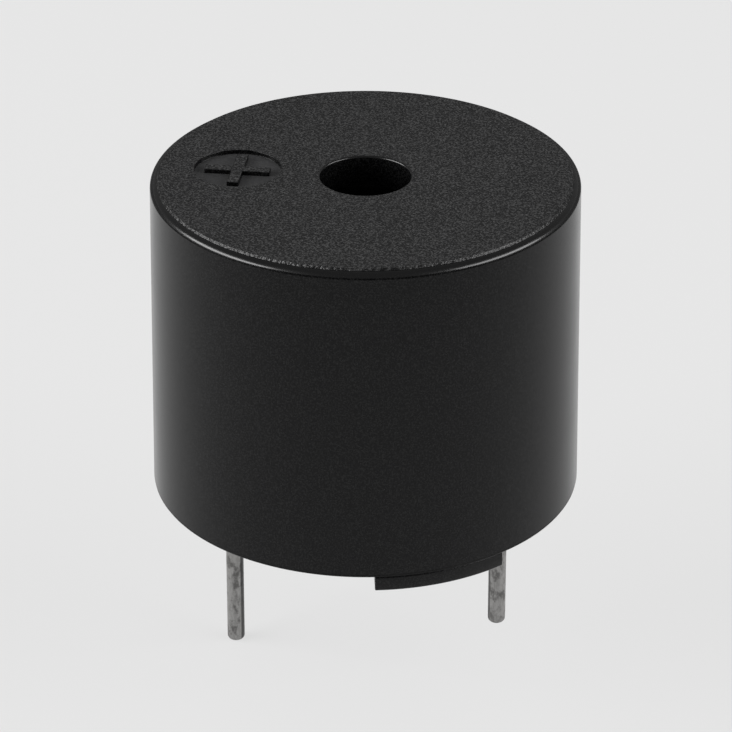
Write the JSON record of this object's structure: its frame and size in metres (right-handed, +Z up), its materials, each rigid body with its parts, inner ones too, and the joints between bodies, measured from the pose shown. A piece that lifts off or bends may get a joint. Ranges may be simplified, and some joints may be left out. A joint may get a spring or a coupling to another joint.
{
  "type": "buzzer",
  "caption": "Round magnetic buzzer for a circuit board: moulded case with a sound hole and polarity mark, on wire pins.",
  "frame": {"origin": "on the case's axis, in the plane that the feet stand on, which is the circuit board's top face when fitted", "axes": "+Z up the case's axis towards the sound hole; X runs through the two pins, with the positive pin and the plus mark on the -X side"},
  "size_m": [0.012, 0.012, 0.0152],
  "materials": {
    "case_plastic": "satin",
    "base_plastic": "satin",
    "resin": "gloss",
    "tinned_wire": "satin",
    "board": "satin",
    "copper": "satin",
    "solder": "gloss",
    "moulding": "matte",
    "chip": "matte",
    "soft_iron": "satin",
    "winding": "gloss",
    "magnet": "matte",
    "ring_plastic": "matte",
    "spring_steel": "satin"
  },
  "bodies": {
    "root": {"case": "case_plastic", "base": "base_plastic", "potting_resin": "resin", "pin_positive": "tinned_wire", "pin_negative": "tinned_wire", "circuit_board": "board", "board_tracks": "copper", "pin_solder_positive": "solder", "pin_solder_negative": "solder", "transistor_body": "moulding", "transistor_legs": "tinned_wire", "resistor_body": "chip", "resistor_ends": "solder", "yoke": "soft_iron", "core": "soft_iron", "coil": "winding", "coil_lead_start": "winding", "coil_lead_tap": "winding", "coil_lead_finish": "winding", "lead_solder": "solder", "ring_magnet": "magnet", "support_ring": "ring_plastic", "diaphragm": "spring_steel", "magnetic_piece": "soft_iron"}
  },
  "joints": []
}
